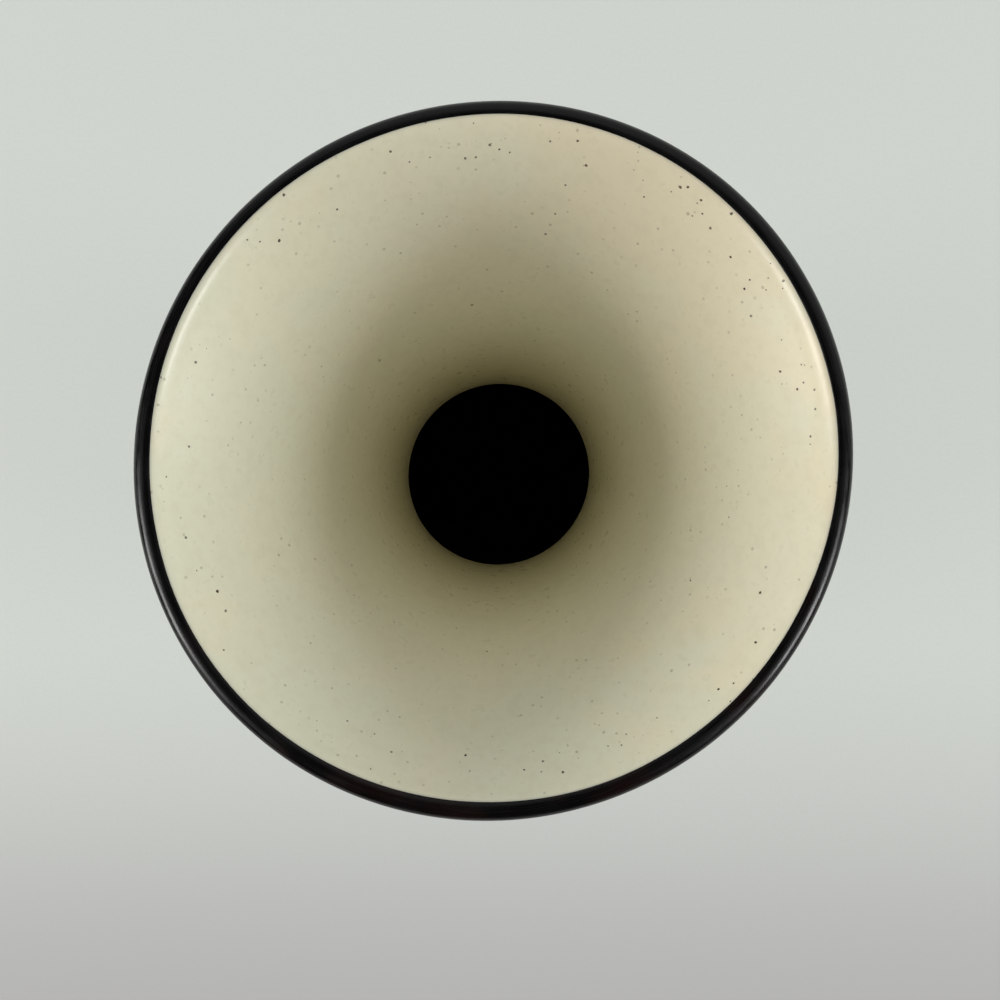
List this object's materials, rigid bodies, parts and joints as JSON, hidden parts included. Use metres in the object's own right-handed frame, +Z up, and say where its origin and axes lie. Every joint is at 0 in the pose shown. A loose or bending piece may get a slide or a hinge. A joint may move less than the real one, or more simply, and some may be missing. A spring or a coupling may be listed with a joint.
{
  "type": "ceramic vase",
  "caption": "Footed stoneware vase with a rounded body, narrow throat and trumpet mouth; speckled cream glaze lines the mouth, black glaze covers the lip and outside. Holds stems and water.",
  "frame": {"origin": "centre of the foot ring's underside, on the table", "axes": "+Z up along the axis of the vase, out of the mouth; +X and +Y are free because the form is round"},
  "size_m": [0.16, 0.16, 0.2999],
  "materials": {
    "stoneware": "bare, matt, dark brown",
    "luting_slip": "bare, matt",
    "black_glaze": "satin black",
    "cream_glaze": "satin cream with iron specks",
    "chamber_glaze": "satin dark"
  },
  "bodies": {
    "root": {"foot_ring": "stoneware", "foot_luting_slip": "luting_slip", "lower_bowl": "stoneware", "belly_luting_slip": "luting_slip", "shoulder": "stoneware", "throat_luting_slip": "luting_slip", "flared_mouth": "stoneware", "black_outer_glaze": "black_glaze", "cream_mouth_glaze": "cream_glaze", "chamber_glaze": "chamber_glaze"}
  },
  "joints": []
}
